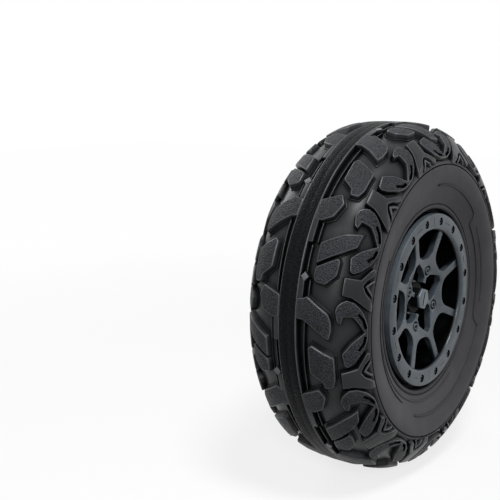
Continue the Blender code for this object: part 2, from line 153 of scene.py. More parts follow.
soft_lamp("overhead", (-0.4, -0.7, 1.6), (0, -0.08, 0), 0.5, 22)
soft_lamp("high_left", (-1.5, -0.2, 1.0), (0, -0.08, 0), 0.5, 5)
soft_lamp("camera_side", (-1.6, -1.05, 0.9), (0, -0.08, 0), 0.4, 14)
soft_lamp("front_right", (1.0, -1.5, 0.4), (0, -0.08, 0), 0.8, 4)
soft_lamp("behind", (0.3, 1.4, 1.0), (0, -0.05, 0), 0.9, 8)


# %% Helpers for modelling by hand
def deselect():
    """Leaves edit mode and selects nothing, because an operator acts on all that is selected."""
    if bpy.context.object and bpy.context.object.mode != "OBJECT":
        bpy.ops.object.mode_set(mode="OBJECT")
    bpy.ops.object.select_all(action="DESELECT")


def named(name):
    """Names the primitive that was just added."""
    piece = bpy.context.object
    piece.name = piece.data.name = name
    return piece


def edit(piece):
    """Selects one object alone and opens it in edit mode with all of its mesh selected."""
    deselect()
    piece.select_set(True)
    bpy.context.view_layer.objects.active = piece
    bpy.ops.object.mode_set(mode="EDIT")
    bpy.ops.mesh.select_all(action="SELECT")


def choose(piece, kind, wanted):
    """In edit mode, selects the verts, edges or faces that the test accepts, and nothing else."""
    bpy.ops.mesh.select_mode(type={"verts": "VERT", "edges": "EDGE", "faces": "FACE"}[kind])
    bpy.ops.mesh.select_all(action="DESELECT")
    drawn = bmesh.from_edit_mesh(piece.data)
    for item in getattr(drawn, kind):
        if wanted(item):
            item.select_set(True)
    bmesh.update_edit_mesh(piece.data)


def tidy_mesh(piece):
    """Merges doubles, turns all faces outwards and leaves edit mode."""
    bpy.ops.mesh.select_mode(type="VERT")
    bpy.ops.mesh.select_all(action="SELECT")
    bpy.ops.mesh.remove_doubles(threshold=1e-6)
    bpy.ops.mesh.normals_make_consistent(inside=False)
    bpy.ops.object.mode_set(mode="OBJECT")
    return piece


deselect()
print("nothing selected:", not bpy.context.selected_objects)

# %% Floor
bpy.ops.mesh.primitive_grid_add(
    x_subdivisions=8, y_subdivisions=8, size=8, location=(0, 0, place(170, 0, -90).z - 0.0005)
)
floor = named("floor")
paper = bpy.data.materials.new("matt_white_paper_sweep")
paper.use_nodes = True
sheet = paper.node_tree
sheet.nodes.clear()
path = add_node(sheet, "ShaderNodeLightPath")
seen = add_node(
    sheet, "ShaderNodeMath", operation="MAXIMUM",
    links={0: path.outputs["Is Camera Ray"], 1: path.outputs["Is Glossy Ray"]},
)
# White paper would throw light up on the dark walls, so diffuse rays find it grey.
tone = add_node(sheet, "ShaderNodeValToRGB", links={"Fac": seen.outputs[0]})
tone.color_ramp.elements[0].color = linear("#505050")
tone.color_ramp.elements[1].color = linear("#F4F4F4")
# Further from the wheel the paper glows more, so that it fades into the white background.
spot = add_node(sheet, "ShaderNodeTexCoord").outputs["Object"]
reach = add_node(sheet, "ShaderNodeVectorMath", operation="LENGTH", links={0: spot})
share = add_node(
    sheet, "ShaderNodeMapRange",
    {"From Min": 0.25, "From Max": 1.4, "To Min": 0.78, "To Max": 0.99},
    {"Value": reach.outputs["Value"]}, interpolation_type="SMOOTHSTEP",
)
glowing = add_node(
    sheet, "ShaderNodeMath", operation="MULTIPLY",
    links={0: seen.outputs[0], 1: share.outputs["Result"]},
)
matt = add_node(sheet, "ShaderNodeBsdfDiffuse", links={"Color": tone.outputs["Color"]})
glow = add_node(sheet, "ShaderNodeEmission", {"Color": (1, 1, 1, 1), "Strength": 1.0})
mixed = add_node(
    sheet, "ShaderNodeMixShader",
    links={0: glowing.outputs[0], 1: matt.outputs[0], 2: glow.outputs[0]},
)
add_node(sheet, "ShaderNodeOutputMaterial", links={"Surface": mixed.outputs[0]})
floor.data.materials.append(paper)
print("floor at", round(floor.location.z, 4))

# %% [markdown]
# ## Finishes
# Every finish starts from the real material. The tyre and the band are moulded polyethylene: a hard
# smooth skin, dull where the steel mould was etched with a leather grain, so the grain is a bump
# pattern of small cells. The rim is ABS with a gunmetal paint: fine metal flakes under a satin
# lacquer. Steel parts are zinc plated, bushings are natural nylon, the plate is powder coated.
# Several tyre and rim finishes are darker and lighter copies of one material, as painted shade and
# painted highlight.

# %% A plain finish with a shader and object coordinates
def new_finish(name, colour, roughness, metallic=0.0):
    """A Principled material in a real finish's name; returns material, tree, shader, coordinates."""
    finish = bpy.data.materials.new(name)
    finish.use_nodes = True
    tree = finish.node_tree
    shader = tree.nodes["Principled BSDF"]
    shader.inputs["Base Color"].default_value = linear(colour)
    shader.inputs["Roughness"].default_value = roughness
    shader.inputs["Metallic"].default_value = metallic
    where = add_node(tree, "ShaderNodeTexCoord").outputs["Object"]
    return finish, tree, shader, where


def mottle(tree, shader, where, size, dark, light):
    """Lets the base colour wander between two hex colours over patches of a size in mm."""
    cloud = add_node(
        tree, "ShaderNodeTexNoise", {"Scale": 1 / (size * MM), "Detail": 3.0}, {"Vector": where}
    )
    ramp = add_node(tree, "ShaderNodeValToRGB", links={"Fac": cloud.outputs["Fac"]})
    ramp.color_ramp.elements[0].position = 0.35
    ramp.color_ramp.elements[1].position = 0.65
    ramp.color_ramp.elements[0].color = linear(dark)
    ramp.color_ramp.elements[1].color = linear(light)
    tree.links.new(ramp.outputs["Color"], shader.inputs["Base Color"])
    return ramp.outputs["Color"]


def roughen(tree, shader, where, size, low, high):
    """Lets the roughness wander between two values over patches of a size in mm."""
    cloud = add_node(
        tree, "ShaderNodeTexNoise", {"Scale": 1 / (size * MM), "Detail": 2.0}, {"Vector": where}
    )
    spread = add_node(
        tree, "ShaderNodeMapRange", {"To Min": low, "To Max": high}, {"Value": cloud.outputs["Fac"]}
    )
    tree.links.new(spread.outputs["Result"], shader.inputs["Roughness"])


def bump(tree, shader, height, depth, strength=1.0, under=None):
    """Turns a height from 0 to 1 into a bump of a depth in mm, on top of another bump if given."""
    step = add_node(
        tree, "ShaderNodeBump", {"Strength": strength, "Distance": depth * MM}, {"Height": height}
    )
    if under:
        tree.links.new(under.outputs["Normal"], step.inputs["Normal"])
    tree.links.new(step.outputs["Normal"], shader.inputs["Normal"])
    return step


print("finish helpers are ready")

# %% Smooth and grained tyre plastic
# The cells of the leather grain are about 1 mm wide on the lugs and a little wider on the band.
# Etched polyethylene scatters what little it reflects, so its specular level is low. Where the walls
# of two lugs stand close together, colour and specular level are darkened as painted shade by
# occlusion.
def tyre_plastic(name, dark, light, roughness, shine, grain=None, depth=0.0):
    finish, tree, shader, where = new_finish(name, light, roughness)
    colour = mottle(tree, shader, where, 28, dark, light)
    roughen(tree, shader, where, 17, roughness - 0.06, roughness + 0.08)
    skin = add_node(
        tree, "ShaderNodeTexNoise", {"Scale": 1 / (3.0 * MM), "Detail": 2.0}, {"Vector": where}
    )
    dull = bump(tree, shader, skin.outputs["Fac"], 0.05, 0.6)
    if grain:
        cells = add_node(
            tree, "ShaderNodeTexVoronoi", {"Scale": 1 / (grain * MM), "Randomness": 1.0},
            {"Vector": where}, feature="SMOOTH_F1",
        ).outputs["Distance"]
        pebbles = bump(tree, shader, cells, depth, 1.0, dull)
        pebbles.invert = True
        # Painted shade darkens the creases between the pebbles and painted highlight lightens their
        # tops.
        pebble_light_and_shade = add_node(
            tree, "ShaderNodeMapRange",
            {"From Min": 0.2, "From Max": 0.7, "To Min": 1.65, "To Max": 0.3}, {"Value": cells},
        )
        colour = add_node(
            tree, "ShaderNodeMix", {0: 1.0}, {6: colour, 7: pebble_light_and_shade.outputs["Result"]},
            data_type="RGBA", blend_type="MULTIPLY",
        ).outputs[2]
    # Painted shade: ambient occlusion darkens the colour and the specular level in closed-in places.
    near = add_node(
        tree, "ShaderNodeAmbientOcclusion", {"Distance": 8 * MM}, {"Color": colour}, samples=8
    )
    crevice_painted_shade = add_node(
        tree, "ShaderNodeMix", {0: 1.0}, {6: near.outputs["Color"], 7: near.outputs["AO"]},
        data_type="RGBA", blend_type="MULTIPLY",
    )
    tree.links.new(crevice_painted_shade.outputs[2], shader.inputs["Base Color"])
    crevice_shaded_gloss = add_node(
        tree, "ShaderNodeMath", {1: shine}, {0: near.outputs["AO"]}, operation="MULTIPLY"
    )
    tree.links.new(crevice_shaded_gloss.outputs[0], shader.inputs["Specular IOR Level"])
    return finish


SMOOTH = tyre_plastic("moulded_polyethylene_smooth", "#38373B", "#403F43", 0.46, 0.14)
# Painted shade: a darker copy of the plastic for the tread's ground, the star's tops and the shelves
# and ribs.
SHADED_PLASTIC = tyre_plastic("moulded_polyethylene_painted_shade", "#17191B", "#1F2124", 0.33, 0.26)
# Painted shade: a darker copy of the plastic for the walls of the lugs and the band.
SHADED_WALL = tyre_plastic("moulded_polyethylene_lug_wall_painted_shade", "#1D1E21", "#26272A", 0.4, 0.2)
# Painted highlight: a lighter copy of the plastic for the top edges of the lugs, the ridges and the
# band.
EDGE = tyre_plastic("moulded_polyethylene_edge_painted_highlight", "#424347", "#4C4D51", 0.34, 0.3)
# Painted highlight: a much lighter copy of the plastic for the small nub beside the band.
NUB_HIGHLIGHT = tyre_plastic("moulded_polyethylene_nub_painted_highlight", "#5C5D61", "#68696D", 0.4, 0.3)
GRAIN = tyre_plastic(
    "moulded_polyethylene_leather_grain", "#27282B", "#2F3034", 0.44, 0.12, 1.05, 0.9
)
# The grip band is darker plastic, and its colour is darkened further by painted shadow.
BAND_AND_SHADOW = tyre_plastic("grip_band_leather_grain_and_painted_shadow", "#07080A", "#0E0F12", 0.44, 0.06, 1.4, 0.6)
print("tyre finishes:", [m.name for m in (SMOOTH, SHADED_PLASTIC, SHADED_WALL, EDGE, NUB_HIGHLIGHT, GRAIN, BAND_AND_SHADOW)])

# %% Gunmetal rim paint, and the darker moulding behind it
def metal_paint(name, dark, light, roughness, metallic, coat=0.2):
    finish, tree, shader, where = new_finish(name, light, roughness, metallic)
    mottle(tree, shader, where, 9, dark, light)
    roughen(tree, shader, where, 12, roughness - 0.05, roughness + 0.06)
    shader.inputs["Specular IOR Level"].default_value = 0.3
    shader.inputs["Coat Weight"].default_value = coat
    shader.inputs["Coat Roughness"].default_value = 0.22
    # Lacquer pulls into very flat waves a few millimetres apart, like the skin of an orange.
    waves = add_node(
        tree, "ShaderNodeTexNoise", {"Scale": 1 / (2.5 * MM), "Detail": 1.0}, {"Vector": where}
    )
    bump(tree, shader, waves.outputs["Fac"], 0.04, 0.5)
    return finish


def painted_shade_copy(finish):
    """A copy of a finish that is darkened to black as painted shade where the mesh's unshaded share is
    low.
    """
    thin = finish.copy()
    thin.name = finish.name + "_with_painted_depth_shade"
    tree = thin.node_tree
    shader = tree.nodes["Principled BSDF"]
    full = shader.inputs["Base Color"].links[0].from_socket
    share = add_node(tree, "ShaderNodeAttribute", attribute_name="unshaded_share").outputs["Fac"]
    # Painted shade: black where the share of unshaded colour is low.
    mixed = add_node(
        tree, "ShaderNodeMix", {6: linear("#060708")}, {0: share, 7: full}, data_type="RGBA"
    )
    tree.links.new(mixed.outputs[2], shader.inputs["Base Color"])
    return thin


LEAST_UNSHADED = 0.04


def set_depth_shade(piece, share_at):
    """Keeps a share of unshaded colour for every point, from its x and z in mm and depth under the
    ring; the rest is painted shade.
    """
    unshaded_share = piece.data.attributes.new("unshaded_share", "FLOAT_COLOR", "POINT")
    for vert, colour in zip(piece.data.vertices, unshaded_share.data):
        x, z = vert.co.x / MM, vert.co.z / MM
        share = float(np.clip(share_at(x, z, RING_FACE - (AXLE.y - vert.co.y) / MM), LEAST_UNSHADED, 1))
        colour.color = (share, share, share, 1)


RIM_RADIUS, RING_FACE, RING_INNER = 84.0, 52.3, 68.0
GUNMETAL = metal_paint("gunmetal_painted_abs", "#373F45", "#414A51", 0.36, 0.25)
# A lighter gunmetal for the cap, also on the ring's outer wall as painted light.
BRIGHT_TRIM_AND_LIT_WALL = metal_paint("gunmetal_bright_trim_and_painted_light", "#4C565D", "#59636A", 0.32, 0.3)
# The barrel's black glossy plastic, also put in the ring's pockets, the sockets and the foot of the
# ring's wall as painted shade.
BLACK_GLOSS_AND_SHADE = metal_paint("black_glossy_abs_and_painted_shade", "#050607", "#090A0C", 0.2, 0.0, 0.0)
# Painted shade: matt black put in the tyre's groove, on the tyre's lip beside the rim and on the cap's
# sides and foot.
SHADE_BLACK = metal_paint("black_matt_painted_shade", "#050607", "#08090A", 0.6, 0.0, 0.0)
SHADE_BLACK.node_tree.nodes["Principled BSDF"].inputs["Specular IOR Level"].default_value = 0.1
GUNMETAL_WITH_DEPTH_SHADE = painted_shade_copy(GUNMETAL)
print("rim finishes:", GUNMETAL.name, BRIGHT_TRIM_AND_LIT_WALL.name, BLACK_GLOSS_AND_SHADE.name, SHADE_BLACK.name, GUNMETAL_WITH_DEPTH_SHADE.name)

# %% Zinc, nylon and powder coat
def zinc_plate():
    finish, tree, shader, where = new_finish("zinc_plated_turned_steel", "#B9BBBD", 0.32, 1.0)
    mottle(tree, shader, where, 6, "#A6A9AD", "#C2C4C4")
    # Turning leaves rings 0.5 mm apart along the axle.
    rings = add_node(
        tree, "ShaderNodeTexWave", {"Scale": 1 / (0.5 * MM) / 20, "Distortion": 0.6},
        {"Vector": where}, bands_direction="Y",
    )
    bump(tree, shader, rings.outputs["Fac"], 0.02, 0.4)
    return finish


def powder_coat():
    finish, tree, shader, where = new_finish("black_powder_coat", "#17181A", 0.45)
    roughen(tree, shader, where, 5, 0.38, 0.55)
    pebbles = add_node(
        tree, "ShaderNodeTexVoronoi", {"Scale": 1 / (1.1 * MM)}, {"Vector": where},
        feature="SMOOTH_F1",
    )
    bump(tree, shader, pebbles.outputs["Distance"], 0.12, 0.5)
    return finish


def nylon():
    finish, tree, shader, where = new_finish("natural_nylon", "#D9D6CB", 0.42)
    mottle(tree, shader, where, 7, "#CFCBBE", "#DEDBD1")
    roughen(tree, shader, where, 4, 0.36, 0.5)
    shader.inputs["Subsurface Weight"].default_value = 0.15
    shader.inputs["Subsurface Scale"].default_value = 2 * MM
    return finish


ZINC, POWDER, NYLON = zinc_plate(), powder_coat(), nylon()
print("other finishes:", ZINC.name, POWDER.name, NYLON.name)

# %% [markdown]
# ## Three ways to start a piece
# Almost every piece is either turned or cut from a plate. A turned piece starts as one point that is
# extruded along its cross-section and spun round the axle. A plate starts as a circle whose corners
# are moved to the outline and extruded. What repeats is modelled once and copied.

# %% Turned pieces
def spun(name, profile, steps, middle=None, closed=True):
    """Spins a cross-section of (radius, height) in mm once round the axle, or round a middle."""
    deselect()
    bpy.ops.mesh.primitive_plane_add(size=MM)
    piece = named(name)
    edit(piece)
    bpy.ops.mesh.merge(type="CENTER")
    shift = (middle - AXLE) if middle else Vector()
    points = [place(radius, height) + shift for radius, height in profile]
    bpy.ops.transform.translate(value=points[0])
    if closed:
        points.append(points[0])
    for here, there in zip(points, points[1:]):
        bpy.ops.mesh.extrude_region_move(TRANSFORM_OT_translate={"value": there - here})
    bpy.ops.mesh.select_all(action="SELECT")
    bpy.ops.mesh.remove_doubles(threshold=1e-6)
    bpy.ops.mesh.spin(steps=steps, angle=math.tau, center=AXLE + shift, axis=(0, 1, 0))
    return tidy_mesh(piece)


def finished(piece, body, materials=(), replaces=(), smooth=32):
    """Gives a piece its finish, smooths it up to an angle and lets it ride on its body."""
    deselect()
    piece.select_set(True)
    bpy.context.view_layer.objects.active = piece
    bpy.ops.object.transform_apply(location=True, rotation=True, scale=True)
    bpy.ops.object.shade_smooth_by_angle(angle=math.radians(smooth))
    for finish in materials:
        piece.data.materials.append(finish)
    if replaces:
        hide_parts(*replaces)
    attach(piece, body)
    print(piece.name, "rides on", body, "with", len(piece.data.polygons), "faces")
    return piece


# %% Plates
def rounded(outline, radius, steps=4, only=None):
    """The outline with its corners rounded; a corner with too little room gets what fits."""
    made = []
    for i, point in enumerate(outline):
        here = Vector(point)
        back = Vector(outline[i - 1]) - here
        ahead = Vector(outline[(i + 1) % len(outline)]) - here
        half = back.angle(ahead) / 2
        if half > math.radians(84) or (only is not None and i not in only):
            made.append(tuple(here))
            continue
        reach = min(radius / math.tan(half), 0.48 * back.length, 0.48 * ahead.length)
        start, end = here + back.normalized() * reach, here + ahead.normalized() * reach
        for k in range(steps + 1):
            t = k / steps
            made.append(tuple(start * (1 - t) ** 2 + here * 2 * t * (1 - t) + end * t * t))
    return made


def anticlockwise(outline):
    around = sum(a[0] * b[1] - b[0] * a[1] for a, b in zip(outline, outline[1:] + outline[:1]))
    return outline if around > 0 else outline[::-1]


def plate(name, outline, low, high):
    """An outline of (x, z) in mm on the wheel's face, from one height to another."""
    outline = anticlockwise(list(outline))
    deselect()
    bpy.ops.mesh.primitive_circle_add(vertices=len(outline), radius=MM, fill_type="NGON")
    piece = named(name)
    for vert, (x, z) in zip(piece.data.vertices, outline):
        vert.co = AXLE + Vector((x, -low, z)) * MM
    edit(piece)
    bpy.ops.mesh.extrude_region_move(TRANSFORM_OT_translate={"value": (0, (low - high) * MM, 0)})
    return tidy_mesh(piece)


def turned_outline(outline, degrees):
    """A flat outline turned round the axle."""
    c, s = math.cos(math.radians(degrees)), math.sin(math.radians(degrees))
    return [(x * c - y * s, x * s + y * c) for x, y in outline]


def circle(radius, sides, x=0.0, y=0.0, start=0.0):
    return [
        (x + radius * math.cos(start + k * math.tau / sides),
         y + radius * math.sin(start + k * math.tau / sides))
        for k in range(sides)
    ]


def joined(name, pieces):
    """Joins pieces into one object."""
    deselect()
    for piece in pieces:
        piece.select_set(True)
    bpy.context.view_layer.objects.active = pieces[0]
    bpy.ops.object.join()
    return named(name)


def cut(piece, cutter):
    """Cuts one piece with another and removes the other."""
    deselect()
    piece.select_set(True)
    bpy.context.view_layer.objects.active = piece
    step = piece.modifiers.new("cut", "BOOLEAN")
    step.operation, step.object, step.solver = "DIFFERENCE", cutter, "EXACT"
    bpy.ops.object.modifier_apply(modifier=step.name)
    bpy.data.objects.remove(cutter)
    return piece


def soften(piece, width, segments=2, limit=40):
    """Bevels every edge sharper than the limit."""
    deselect()
    piece.select_set(True)
    bpy.context.view_layer.objects.active = piece
    step = piece.modifiers.new("soft edges", "BEVEL")
    step.width, step.segments = width * MM, segments
    step.limit_method, step.angle_limit = "ANGLE", math.radians(limit)
    step.use_clamp_overlap = False
    bpy.ops.object.modifier_apply(modifier=step.name)
    return piece


print("a rounded square has", len(rounded([(0, 0), (9, 0), (9, 9), (0, 9)], 2)), "corners")

# %% [markdown]
# ## Tyre: the carcass
# The real tyre is blow moulded, so its walls are even and its edges soft. Its cross-section follows
# the same curve as the CAD tyre: the ground between the lugs is 6 mm below the lugs at the crown and
# less at the shoulder. Past the widest point come a smooth border, a thin dark groove and the smooth
# sidewall, which runs in and ends in a rolled lip round the rim. The section is drawn once and spun.

# %% Cross-sections of the lugs' tops and of the ground
CROWN, SHOULDER_DROP, HALF_WIDTH = 170.0, 32.0, 61.5
LUG_HEIGHT, SIDE_LUG = 6.0, 3.5
stations = np.linspace(0, 1, 41)


def curve(crown, drop, half):
    return np.column_stack([crown - drop * stations**4, half * stations])


TOPS = np.vstack([
    curve(CROWN, SHOULDER_DROP, HALF_WIDTH), [(134.4, 61.4), (131.6, 61.0)],
])
GROUND = np.vstack([
    curve(CROWN - LUG_HEIGHT, SHOULDER_DROP - SIDE_LUG, HALF_WIDTH - SIDE_LUG),
    [(133.0, 57.9), (131.3, 57.7)],
])
LENGTH = np.concatenate([[0], np.cumsum(np.linalg.norm(np.diff(TOPS, axis=0), axis=1))])
print("tread from its middle to the sidewall, unrolled:", round(LENGTH[-1], 1), "mm")

# %% Carcass
BORDER = [
    (135.0, 58.9), (133.7, 59.9), (132.3, 60.4), (131.8, 60.4), (131.5, 59.0), (130.8, 59.0),
    (130.5, 60.5),
]
SIDEWALL = [
    (130.0, 60.6), (128.8, 60.7), (124, 60.3), (119, 59.4), (114, 58.0), (109, 56.1),
    (104, 53.9), (99, 51.7), (95.4, 50.6), (93.7, 50.0), (93.2, 49.2), (92.6, 49.2), (92.0, 50.0),
]
BEAD_LIP = [
    (90.7, 50.3), (89.3, 49.9), (88.3, 49.0), (87.7, 47.7), (87.5, 46.0), (87.4, 41.2),
    (84.8, 40.2), (84.8, 34.5),
]
LINING = [(88, 34.0), (96, 45.5), (110, 51.5), (126, 55.5), (134, 53.8), (146, 49.6), (158, 35.0)]
outside = [tuple(point) for point in GROUND[2:-1:2]]
half_section = outside + BORDER + SIDEWALL + BEAD_LIP + LINING
whole_section = half_section + [(r, -h) for r, h in half_section[::-1]]
carcass = spun("tyre_carcass", whole_section, 180)
TREAD_EDGE, GROOVE_OUTER, GROOVE_INNER, LIP_INNER = 134.6, 131.7, 130.5, 88.1
for face in carcass.data.polygons:
    radius = math.hypot(face.center.x, face.center.z) / MM
    if radius > TREAD_EDGE:
        face.material_index = 1
    elif GROOVE_INNER < radius < GROOVE_OUTER or radius < LIP_INNER:
        face.material_index = 2
# The ground takes painted shade; the groove and the lip's wall beside the rim lie in shadow, painted
# black.
finished(carcass, "wheel", [SMOOTH, SHADED_PLASTIC, SHADE_BLACK], ["tyre"], smooth=28)

# %% [markdown]
# ## Tyre: lugs drawn flat
# Each lug is drawn flat, as on an unrolled tyre: across in mm from the middle, round in degrees.
# The outline is a circle primitive with moved corners. Insets that also lift give a low plinth and
# the sloping walls that let a lug leave its mould, and bevels soften its corners and top edge.
# Cuts across and along let it bend when it is laid on the tyre.

# %% From the tyre's side view to the unrolled tread
DEGREE = CROWN * math.tau / 360  # mm of tread per degree round


def unrolled(across):
    """Distance along the tread for a sideways distance; past the widest point it runs down."""
    if across <= HALF_WIDTH:
        return float(np.interp(across, TOPS[:41, 1], LENGTH[:41]))
    return float(LENGTH[40] + across - HALF_WIDTH)


def grown(outline, by):
    """An anticlockwise outline moved outwards by a distance on every side."""
    made = []
    for i, point in enumerate(outline):
        here = Vector(point)
        back = (here - Vector(outline[i - 1])).normalized()
        ahead = (Vector(outline[(i + 1) % len(outline)]) - here).normalized()
        a, b = Vector((back.y, -back.x)), Vector((ahead.y, -ahead.x))
        made.append(tuple(here + (a + b) * by / max(1 + a.dot(b), 0.4)))
    return made


def strip(path, width):
    """The outline of a strip of a width along a path, as a lug outline in mm on the flat tread."""
    points = [Vector(point) for point in path]
    left, right = [], []
    for i, here in enumerate(points):
        back = (here - points[i - 1]).normalized() if i else None
        ahead = (points[i + 1] - here).normalized() if i + 1 < len(points) else None
        a = back or ahead
        b = ahead or back
        side = Vector((-a.y - b.y, a.x + b.x)) / (1 + a.dot(b)) * width / 2
        left.append(tuple(here + side))
        right.append(tuple(here - side))
    return left + right[::-1]


print("the widest point, unrolled:", round(unrolled(HALF_WIDTH), 1), "mm")

# %% One flat lug
SINK = 1.5
PLINTH_HEIGHT, PLINTH_LEDGE, PLINTH_SLOPE = 0.9, 0.7, 0.5
EDGE_DEPTH = 1.3
TOP_SLOPE, EDGE_SLOPE = 0.95, 0.35  # least upward part of a face's normal


def flat_lug(name, corners, height=6.0, draft=1.3, corner=1.2, edge=0.8, plinth=True):
    """A lug with sloping walls on flat ground, from the outline of its top in mm."""
    steps = [(PLINTH_SLOPE, PLINTH_HEIGHT), (PLINTH_LEDGE, 0.15)] if plinth else []
    steps.append((draft, height - sum(up for _, up in steps)))
    foot = grown(anticlockwise(list(corners)), sum(inwards for inwards, _ in steps))
    deselect()
    bpy.ops.mesh.primitive_circle_add(vertices=len(foot), radius=MM, fill_type="NGON")
    lug = named(name)
    for vert, (x, y) in zip(lug.data.vertices, foot):
        vert.co = Vector((x, y, 0)) * MM
    edit(lug)
    for inwards, up in steps:
        bpy.ops.mesh.inset(thickness=inwards * MM, depth=up * MM, use_even_offset=True)
    choose(lug, "edges", lambda e: e.is_boundary)
    bpy.ops.mesh.extrude_region_move(TRANSFORM_OT_translate={"value": (0, 0, -SINK * MM)})
    bpy.ops.mesh.edge_face_add()
    top = height * MM - 1e-5
    if corner:
        choose(lug, "edges", lambda e: (e.verts[0].co.z > top) != (e.verts[1].co.z > top))
        bpy.ops.mesh.bevel(offset=corner * MM, segments=2, affect="EDGES", clamp_overlap=True)
    if edge:
        choose(lug, "edges", lambda e: e.verts[0].co.z > top and e.verts[1].co.z > top)
        bpy.ops.mesh.bevel(offset=edge * MM, segments=2, affect="EDGES", clamp_overlap=True)
    return tidy_mesh(lug)


def on_tread(outline):
    """A measured outline of (mm across, degrees round) in mm on the unrolled tread."""
    return [(unrolled(across), degrees * DEGREE) for across, degrees in outline]


def cut_for_bending(lug, across_step, degrees_step, finishes=None):
    """Cuts a flat lug into patches to follow the tyre; finishes are for walls, top and top edge."""
    for finish in finishes or (SHADED_WALL, GRAIN, EDGE):
        lug.data.materials.append(finish)
    corners = np.array([v.co for v in lug.data.vertices]) / MM
    low, high = corners.min(0), corners.max(0)
    edit(lug)
    for axis, step in ((0, across_step), (1, degrees_step * DEGREE)):
        normal = [0, 0, 0]
        normal[axis] = 1
        for at in np.arange(math.ceil(low[axis] / step) * step, high[axis], step):
            bpy.ops.mesh.select_all(action="SELECT")
            bpy.ops.mesh.bisect(plane_co=[n * at * MM for n in normal], plane_no=normal)
    tidy_mesh(lug)
    # Walls take painted shade and top edges painted highlight, unless other finishes are given.
    for face in lug.data.polygons:
        if face.center.z / MM > high[2] - EDGE_DEPTH:
            up = face.normal.z
            face.material_index = 1 if up > TOP_SLOPE else 2 if up > EDGE_SLOPE else 0
    return lug


# %% Lugs of the crown
CROWN_LUGS = {
    "long_lug": ((9.3, 170.8), (14.2, 170.8), (18.5, 170.1), (37.7, 174.5), (40.2, 176.8),
                 (40.3, 179.8), (38.5, 182.2), (25.5, 178.8), (15.6, 176.8), (9.3, 176.8)),
    "block_lug": ((23.8, 124.2), (42.4, 127.95), (42, 135.1), (39.5, 137.6), (33, 137.7),
                  (32.1, 135.7), (21.6, 132.85), (20.9, 125.3)),
    "root_lug": ((9.3, 140.8), (27, 138.4), (31.5, 141.2), (26.4, 145.8), (16.6, 147.4),
                 (9.3, 147.4)),
    "blade_lug": ((22.4, 154.2), (40, 150.5), (51.6, 148.8), (50, 153.3), (41.5, 156),
                  (22.4, 160.2)),
    "fan_lug": ((22.7, 161.4), (40, 157.9), (41.5, 158.9), (40.8, 163), (33, 166),
                (24.5, 165.5), (22.4, 164.5)),
}
crown_lugs = [
    cut_for_bending(flat_lug(name, on_tread(outline)), 5, 2.5)
    for name, outline in CROWN_LUGS.items()
]
print("crown lugs:", [(lug.name, len(lug.data.polygons)) for lug in crown_lugs])

# %% [markdown]
# ## Tyre: laying the lugs on the carcass
# A flat lug is copied and each point of the copy is moved: its distance across picks a place on the
# cross-sections, its height a point between ground and top, and its distance round an angle. The
# inner half of the tread is the mirror image of the outer half, half a repeat further round.

# %% Wrap one copy
def laid(flat, turn, side):
    """A copy of a flat lug, laid on the tyre; side is 1 outside and -1 inside."""
    copy = flat.copy()
    copy.data = flat.data.copy()
    bpy.context.scene.collection.objects.link(copy)
    flat_points = np.array([v.co for v in copy.data.vertices]) / MM
    across, round_, height = flat_points.T
    share = height / LUG_HEIGHT
    top = [np.interp(across, LENGTH, TOPS[:, i]) for i in (0, 1)]
    low = [np.interp(across, LENGTH, GROUND[:, i]) for i in (0, 1)]
    radius, out = [a + (b - a) * share for a, b in zip(low, top)]
    angle = np.radians(round_ / DEGREE + turn)
    for vert, r, o, a in zip(copy.data.vertices, radius, out, angle):
        vert.co = AXLE + Vector((r * math.cos(a), -side * o, r * math.sin(a))) * MM
    return copy


def tread_set(name, flat_lugs, repeats, side, shift):
    """Every copy of some flat lugs on one half of the tread, as one object."""
    copies = [
        laid(flat, shift + 360 / repeats * k, side) for flat in flat_lugs for k in range(repeats)
    ]
    tread = joined(name, copies)
    edit(tread)
    return tidy_mesh(tread)


for side, half in ((1, "outer"), (-1, "inner")):
    tread = tread_set(f"crown_lugs_{half}", crown_lugs, 6, side, 0 if side > 0 else 30)
    finished(tread, "wheel", smooth=40)

# %% Lugs of the shoulder
HOOK = (
    (42.8, 143.35), (44, 141.8), (46.4, 140.7), (49.6, 139.9), (54.1, 140.5), (57.6, 142.5),
    (59.6, 144.7), (61.2, 147.7), (61.5, 150.8), (61.2, 153.8), (59.2, 157.3), (54.7, 160.4),
    (51.1, 161.5), (49.1, 161), (47.8, 156.9), (53.3, 153.8), (60.2, 150.6), (57, 147.1),
    (54.1, 145.1), (48.2, 144.9), (46.9, 147.3), (44.5, 146.6),
)
STAR = (
    (46.4, 163.2), (50.6, 163.1), (56.0, 163.0), (58.6, 160.6), (61.0, 158.2), (64.0, 158.6),
    (62.0, 160.6), (58.9, 162.7), (57.3, 164.7), (58.9, 166.9), (62.0, 169.2), (67.0, 171.2),
    (66.0, 173.4), (61.0, 172.6), (56.5, 170.4), (52.5, 169.0), (46.4, 168.5),
)
RIDGE = ((65.5, 162.2), (61.2, 163.2), (59.3, 164.8), (61.2, 166.6), (65.5, 168.0))
hook = flat_lug("hook_lug", on_tread(HOOK), draft=1.2, corner=0.8, edge=0.8, plinth=False)
star = flat_lug("star_lug", on_tread(STAR), draft=1.2, corner=0.6, edge=0.9, plinth=False)
ridge = flat_lug(
    "ridge_lug", strip(on_tread(RIDGE), 1.9), 5.2, draft=0.8, corner=0, edge=0.6, plinth=False
)
print("hook", len(hook.data.polygons), "star", len(star.data.polygons))

